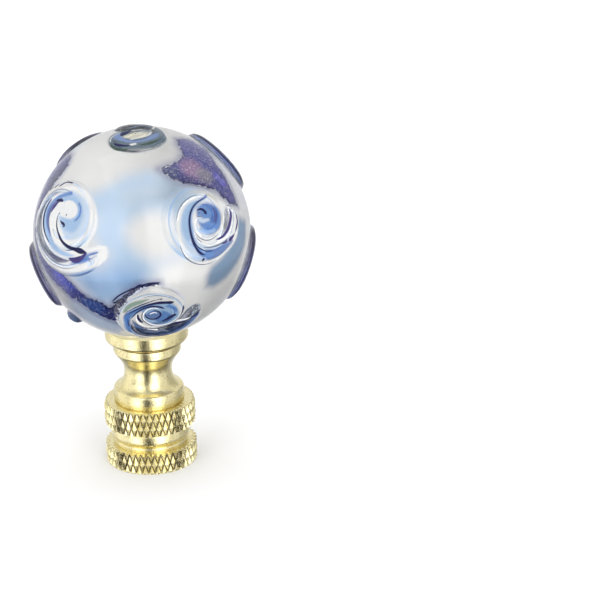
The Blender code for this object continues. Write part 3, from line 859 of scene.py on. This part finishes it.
def make_threads(colors):
    """All the drawn threads, one object for each colour."""
    meshes = {name: ([], []) for name in colors}
    for number, (coil, look) in enumerate(zip(COILS, COIL_LOOKS)):
        if look in DESIGNS:
            for color, lines in DESIGNS[look][2].items():
                for angles, radii, halves in lines:
                    points, half = spiral_stroke(angles, radii, np.array(halves) * THREAD_BOLDNESS[color])
                    add_thread(*meshes[color], FlatMap(coil.outward).lift(points), half)
            continue
        for across, start, end, half, color, drift in VIOLET_THREADS:
            seed = number * 7.3 + across * 3.1
            add_thread(*meshes[color], coil_thread(coil, across, start, end, drift, seed), half)
    for points in FREE_THREADS:
        middle = unit(smooth_curve([direction(a, l) for a, l in points], steps=16))
        add_thread(*meshes["navy"], middle, FREE_THREAD_HALF)
    return [make_object(name + "_threads", *meshes[name], material) for name, material in colors.items()]


PATCH_STEP = .00012
PATCH_TOP = -.00012
PATCH_THICKNESS = .00007
PATCH_MARGIN = .001
ZONE_FADE = 1.4
RAGGED_WAVES = [(.5, 900), (.5, 2600), (1.3, 5200)]


def ragged(points, seed):
    return np.array([
        sum(share * noise.noise(Vector((x * waves, y * waves, seed))) for share, waves in RAGGED_WAVES)
        for x, y in points])


def lustre_tones(directions, base, zones):
    """Each place's flake colour: a base with a few soft zones (azimuth, latitude, reach in metres, colour)."""
    color = np.tile(base, (len(directions), 1))
    for azimuth, latitude, reach, tone in zones:
        away = metres_from(directions, direction(azimuth, latitude))
        color = blend(color, tone, smoothstep(ZONE_FADE * (1 - away / reach)))
    return color


def make_patch(name, outline, base, zones, ragged_edge, seed, material):
    """A thin flake-filled shell just under the surface, cut along a ragged outline."""
    flat, ring = outline_map(outline)
    low, high = ring.min(axis=0) - PATCH_MARGIN, ring.max(axis=0) + PATCH_MARGIN
    columns, rows = np.ceil((high - low) / PATCH_STEP).astype(int) + 1
    xs, ys = low[0] + np.arange(columns) * PATCH_STEP, low[1] + np.arange(rows) * PATCH_STEP
    points = np.stack(np.meshgrid(xs, ys), axis=-1).reshape(-1, 2)
    inside = inside_ring(points, ring) + ragged_edge * ragged(points, seed)
    verts, index, faces = [], {}, []

    def corner(a, b=None):
        key = a if b is None else (min(a, b), max(a, b))
        if key not in index:
            index[key] = len(verts)
            if b is None:
                verts.append(points[a])
            else:
                t = inside[a] / (inside[a] - inside[b])
                verts.append(points[a] * (1 - t) + points[b] * t)
        return index[key]

    for row in range(rows - 1):
        for column in range(columns - 1):
            a = row * columns + column
            for triangle in ((a, a + 1, a + columns), (a + 1, a + columns + 1, a + columns)):
                if max(inside[list(triangle)]) <= 0:
                    continue
                face = []
                for here, there in zip(triangle, triangle[1:] + triangle[:1]):
                    if inside[here] > 0:
                        face.append(corner(here))
                    if (inside[here] > 0) != (inside[there] > 0):
                        face.append(corner(here, there))
                faces.append(face)
    directions = flat.lift(np.array(verts))
    count = len(verts)
    both = np.concatenate([
        on_ball(directions, np.full(count, PATCH_TOP)),
        on_ball(directions, np.full(count, PATCH_TOP - PATCH_THICKNESS))])
    edges = dict.fromkeys((a, b) for face in faces for a, b in zip(face, face[1:] + face[:1]))
    walls = [[a, a + count, b + count, b] for a, b in edges if (b, a) not in edges]
    under = [[i + count for i in face[::-1]] for face in faces]
    patch = make_object(name, both, faces + under + walls, material)
    paint(patch, "lustre", np.tile(lustre_tones(directions, base, zones), (2, 1)))
    return patch


# Materials

class Graph:
    """The shading nodes of a material or a world."""

    def __init__(self, owner):
        owner.use_nodes = True
        self.nodes, self.links = owner.node_tree.nodes, owner.node_tree.links

    def new(self, kind):
        return self.nodes.new("ShaderNode" + kind)

    def fill(self, node, inputs):
        """Set each named or numbered input to a number or a colour, or link it to another node."""
        for name, value in inputs.items():
            if isinstance(value, (int, float)):
                node.inputs[name].default_value = value
            elif isinstance(value, tuple):
                node.inputs[name].default_value = (*value, 1)
            else:
                self.links.new(value, node.inputs[name])
        return node

    def shade(self, values):
        self.fill(self.nodes["Principled BSDF"], values)

    def math(self, operation, *values):
        node = self.new("Math")
        node.operation = operation
        return self.fill(node, dict(enumerate(values))).outputs[0]

    def times(self, first, second):
        return self.math("MULTIPLY", first, second)

    def split(self, vector):
        return self.fill(self.new("SeparateXYZ"), {0: vector}).outputs

    def place(self):
        return self.new("TexCoord").outputs["Object"]

    def painted(self, name):
        node = self.new("VertexColor")
        node.layer_name = name
        return node.outputs["Color"]

    def noise(self, vector, scale, detail=3, roughness=.5):
        inputs = {"Vector": vector, "Scale": scale, "Detail": detail, "Roughness": roughness}
        return self.fill(self.new("TexNoise"), inputs).outputs["Fac"]

    def ramp(self, factor, stops):
        """A run between two colours, each with its position."""
        node = self.fill(self.new("ValToRGB"), {"Fac": factor})
        for element, (position, color) in zip(node.color_ramp.elements, stops):
            element.position = position
            element.color = (*color, 1)
        return node.outputs["Color"]

    def range(self, value, low, high):
        """Smoothly 0 at low and 1 at high."""
        node = self.fill(self.new("MapRange"), {"Value": value, "From Min": low, "From Max": high})
        node.interpolation_type = "SMOOTHSTEP"
        return node.outputs["Result"]

    def mix(self, factor, first, second):
        node = self.new("Mix")
        node.data_type = "RGBA"
        return self.fill(node, {0: factor, 6: first, 7: second}).outputs[2]


def new_material(name):
    material = bpy.data.materials.new(name)
    return material, Graph(material)


def brass_material():
    """Pale satin brass with fine turning rings, a few scuffs and painted shade darkening the knurl grooves."""
    material, graph = new_material("satin_brass_turned")
    place = graph.place()
    x, y, z = graph.split(place)
    radius = graph.math("SQRT", graph.math("ADD", graph.times(x, x), graph.times(y, y)))
    turned = graph.fill(graph.new("CombineXYZ"), {"X": radius, "Y": z})
    rings = graph.noise(turned.outputs[0], 9000, 4, .6)
    grain = graph.noise(place, 3600, 4, .75)
    clean = graph.ramp(graph.noise(place, 420), [(.3, (.78, .68, .35)), (.7, (.87, .785, .46))])
    scuffs = graph.range(graph.noise(place, 4000, 3, .75), .45, .32)
    stained = graph.mix(graph.times(scuffs, .7), clean, (.3, .25, .12))
    # Painted shade in the knurl grooves, darkening the brass colour.
    painted_groove_shade = graph.range(graph.painted("groove_shade"), .6, .08)
    height = graph.math("ADD", rings, graph.times(grain, 1.1))
    bump = graph.fill(graph.new("Bump"), {"Strength": .38, "Distance": .00005, "Height": height})
    graph.shade({
        "Base Color": graph.mix(graph.times(painted_groove_shade, .95), stained, (.07, .05, .02)), "Metallic": 1,
        "Roughness": graph.ramp(grain, [(.3, (.13, .13, .13)), (.75, (.26, .26, .26))]),
        "Normal": bump.outputs["Normal"],
    })
    return material


def seam_material():
    """The dark red-brown line where the collar is fixed to the flange."""
    material, graph = new_material("dark_seam")
    color = graph.ramp(graph.noise(graph.place(), 1500), [(.3, (.05, .015, .008)), (.7, (.16, .05, .02))])
    graph.shade({"Base Color": color, "Roughness": .5})
    return material


def glass_material():
    """Clear glass, tinted blue in the trails and in soft hazes, with painted shade and painted light in grey over its
    clear parts.
    """
    material, graph = new_material("blue_swirl_clear_glass")
    graph.shade({"Base Color": graph.painted("tint"), "Transmission Weight": 1, "Roughness": .12, "IOR": 1.5})
    return material


THREAD_TONES = {
    "navy": (.012, .014, .075), "blue": (.09, .19, .5), "violet": (.06, .045, .2),
    # Cream and olive threads stand for painted reflections of the brass seen through the glass.
    "white": (.9, .91, .92), "cream": (.8, .76, .55), "slate": (.17, .21, .29),
    "olive_brass_reflection": (.05, .09, .07),
}
THREAD_DARKENING = .7


def thread_material(name):
    """Opal glass drawn out thin, a little uneven along its length; the olive and cream threads are painted
    reflections of the brass seen through the glass.
    """
    material, graph = new_material(name + "_opal")
    tone = THREAD_TONES[name]
    darker = tuple(c * THREAD_DARKENING for c in tone)
    color = graph.ramp(graph.noise(graph.place(), 1800), [(.35, darker), (.65, tone)])
    graph.shade({"Base Color": color, "Roughness": .5, "Specular IOR Level": .2})
    return material


def lustre_material():
    """Dark violet flakes with darker grains and bright specks, over each place's own colour."""
    material, graph = new_material("violet_lustre")
    place, tone = graph.place(), graph.painted("lustre")
    cloud = graph.noise(place, 700, 2)
    fleck = graph.noise(place, 4200, 2, .75)
    dark = graph.mix(graph.range(cloud, .45, .75), tone, (.03, .025, .15))
    base = graph.mix(graph.times(graph.range(fleck, .5, .36), .8), tone, dark)
    spark = graph.times(graph.range(fleck, .56, .61), .85)
    color = graph.mix(spark, base, graph.mix(.5, tone, (.95, .95, 1.0)))
    graph.shade({"Base Color": color, "Metallic": .15, "Roughness": .4, "Specular IOR Level": .15})
    return material


def floor_material():
    material, graph = new_material("pale_floor")
    color = graph.ramp(graph.noise(graph.place(), 3, 2), [(.3, (.92, .92, .92)), (.7, (.94, .94, .94))])
    graph.shade({"Base Color": color, "Roughness": 1, "Specular IOR Level": 0})
    return material


# Studio

VIEW_ELEVATION = 24
VIEW_DISTANCE = 1.0
VIEW_ROLL = -2.1
SENSOR_WIDTH = 36
PIXELS_PER_METRE = 7240
FRAME_PIXELS = 600
PIVOT = Vector((0, 0, .025))
PIVOT_PIXEL = (144.6, 291.9)
FLOOR_Z = -.00002
FLOOR_REACH = 3
LIGHT_PLACE = (0, .1, .8)
LIGHT_TARGET = (0, 0, .03)
LIGHT_SIZE = .9
LIGHT_POWER = 2.2


def make_camera():
    camera = bpy.data.objects.new("camera", bpy.data.cameras.new("camera"))
    bpy.context.scene.collection.objects.link(camera)
    camera.data.sensor_width = SENSOR_WIDTH
    camera.data.lens = PIXELS_PER_METRE * VIEW_DISTANCE * SENSOR_WIDTH / FRAME_PIXELS
    camera.data.clip_start = .01
    elevation = radians(VIEW_ELEVATION)
    toward = Vector((0, -cos(elevation), sin(elevation)))
    turn = Matrix.Rotation(pi / 2 - elevation, 3, "X") @ Matrix.Rotation(radians(VIEW_ROLL), 3, "Z")
    shift_right = (FRAME_PIXELS / 2 - PIVOT_PIXEL[0]) / PIXELS_PER_METRE
    shift_up = (PIVOT_PIXEL[1] - FRAME_PIXELS / 2) / PIXELS_PER_METRE
    camera.location = PIVOT + toward * VIEW_DISTANCE + turn.col[0] * shift_right + turn.col[1] * shift_up
    camera.rotation_euler = turn.to_euler()
    bpy.context.scene.camera = camera


def add_overhead_light():
    light = bpy.data.lights.new("overhead_softbox", "AREA")
    light.shape = "RECTANGLE"
    light.size = light.size_y = LIGHT_SIZE
    light.energy = LIGHT_POWER
    light.specular_factor = 0
    lamp = bpy.data.objects.new("overhead_softbox", light)
    lamp.location = LIGHT_PLACE
    lamp.rotation_euler = (Vector(LIGHT_TARGET) - Vector(LIGHT_PLACE)).to_track_quat("-Z", "Y").to_euler()
    bpy.context.scene.collection.objects.link(lamp)


# The studio around the object: (azimuth, half width, lowest and highest elevation, strength)
WORLD_LEVEL = .93
SOFT_BOXES = [(-38, 19, -50, 46, 1.9), (25, 18, -50, 50, 2.2), (-92, 28, -60, 40, .3)]
DARK_CARDS = [
    (-7, 11, -90, 72, .9), (-5, 22, -60, -12, .75), (-7, 65, 62, 76, .85), (-30, 50, -14, 14, .35),
    (118, 26, -60, 30, .4),
]
# Full below the first elevation, gone above the second, and its strength
DARK_GROUND = (-62, -26, .92)
BOX_SOFTNESS = 12
DEGREES = 180 / pi


def make_world():
    """An even white studio with brighter boxes and dark cards that the turned brass mirrors."""
    world = bpy.data.worlds.new("studio")
    graph = Graph(world)
    x, y, z = graph.split(graph.new("TexCoord").outputs["Generated"])
    azimuth = graph.times(graph.math("ARCTAN2", x, graph.times(y, -1)), DEGREES)
    elevation = graph.times(graph.math("ARCSINE", z), DEGREES)

    def strength_of(box):
        middle, half, low, high, strength = box
        off = graph.math("ABSOLUTE", graph.math("SUBTRACT", azimuth, middle))
        across = graph.range(off, half + BOX_SOFTNESS / 2, half - BOX_SOFTNESS / 2)
        above = graph.range(elevation, low - BOX_SOFTNESS, low + BOX_SOFTNESS)
        below = graph.range(elevation, high + BOX_SOFTNESS, high - BOX_SOFTNESS)
        return graph.times(graph.times(across, graph.times(above, below)), strength)

    level = WORLD_LEVEL
    for box in SOFT_BOXES:
        level = graph.math("ADD", level, strength_of(box))
    for card in DARK_CARDS:
        level = graph.times(level, graph.math("SUBTRACT", 1, strength_of(card)))
    low, high, depth = DARK_GROUND
    ground = graph.times(graph.range(elevation, high, low), depth)
    level = graph.times(level, graph.math("SUBTRACT", 1, ground))
    graph.fill(graph.nodes["Background"], {"Color": (1, 1, 1), "Strength": level})
    bpy.context.scene.world = world


def make_studio():
    corners = [(x * FLOOR_REACH, y * FLOOR_REACH, FLOOR_Z) for x, y in ((-1, -1), (1, -1), (1, 1), (-1, 1))]
    floor = make_object("floor", corners, [(0, 1, 2, 3)], floor_material())
    floor.visible_glossy = False
    make_world()
    add_overhead_light()
    make_camera()


def main():
    brass = brass_material()
    base = make_base(brass)
    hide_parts("brass_base")
    collar = make_collar(brass, seam_material())
    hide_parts("seat_collar")
    ball = make_ball(glass_material())
    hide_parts("glass_ball")
    colored = make_threads({name: thread_material(name) for name in THREAD_TONES})
    lustre = lustre_material()
    for name, patch in PATCHES.items():
        colored.append(make_patch(name + "_lustre_patch", *patch, lustre))
    for piece in [base, collar, ball] + colored:
        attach(piece, "root")
    make_studio()
    bpy.context.scene.view_settings.view_transform = "Standard"


main()
